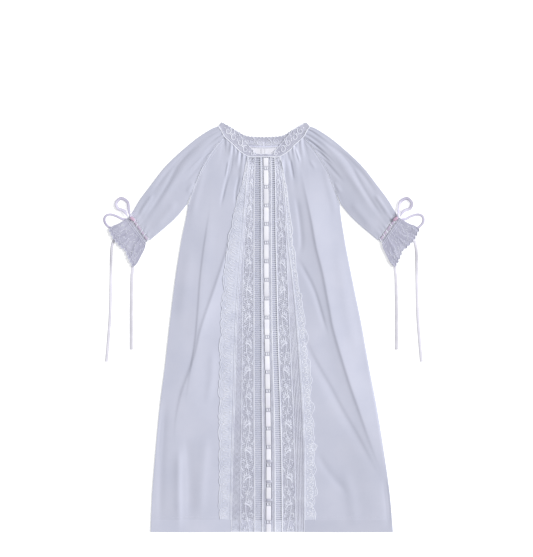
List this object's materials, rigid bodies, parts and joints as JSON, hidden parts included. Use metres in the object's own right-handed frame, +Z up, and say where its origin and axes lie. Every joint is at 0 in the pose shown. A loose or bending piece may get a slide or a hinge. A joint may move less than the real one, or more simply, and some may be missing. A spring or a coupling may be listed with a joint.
{
  "type": "baby daygown laid flat",
  "caption": "Long baby gown laid flat, with raglan sleeves, a lace and ribbon front panel edged with gathered frills, a lace neckband and lace cuffs tied with ribbon bows.",
  "frame": {"origin": "centre of the gown without its loose bow ribbons, on the surface that it lies on", "axes": "+Y towards the neck, +Z up out of the front, +X to the viewer's right"},
  "size_m": [0.461, 0.5864, 0.0074],
  "materials": {
    "batiste": "sheer plain-woven cotton, soft and matte",
    "lace": "fine cotton lace, matte",
    "ribbon": "satin ribbon with a soft sheen",
    "knot": "pink satin ribbon"
  },
  "bodies": {
    "root": {"back_left": "batiste", "back_right": "batiste", "front_left": "batiste", "front_right": "batiste", "hem_left": "batiste", "hem_right": "batiste", "sleeve_left": "batiste", "sleeve_right": "batiste", "neckband_front_left": "lace", "neckband_front_right": "lace", "neckband_back_left": "lace", "neckband_back_right": "lace", "net_strip_left": "lace", "net_strip_right": "lace", "insertion_left": "lace", "insertion_right": "lace", "ladder_left": "lace", "ladder_right": "lace", "beading_centre": "lace", "centre_ribbon": "ribbon", "frill_left": "lace", "frill_right": "lace", "wrist_beading_left": "lace", "wrist_beading_right": "lace", "wrist_ribbon_left": "ribbon", "wrist_ribbon_right": "ribbon", "flounce_left": "lace", "flounce_right": "lace", "knot_left": "knot", "knot_right": "knot", "loop_upper_left": "ribbon", "loop_upper_right": "ribbon", "loop_lower_left": "ribbon", "loop_lower_right": "ribbon", "tail_outer_left": "ribbon", "tail_outer_right": "ribbon", "tail_inner_left": "ribbon", "tail_inner_right": "ribbon"}
  },
  "joints": []
}
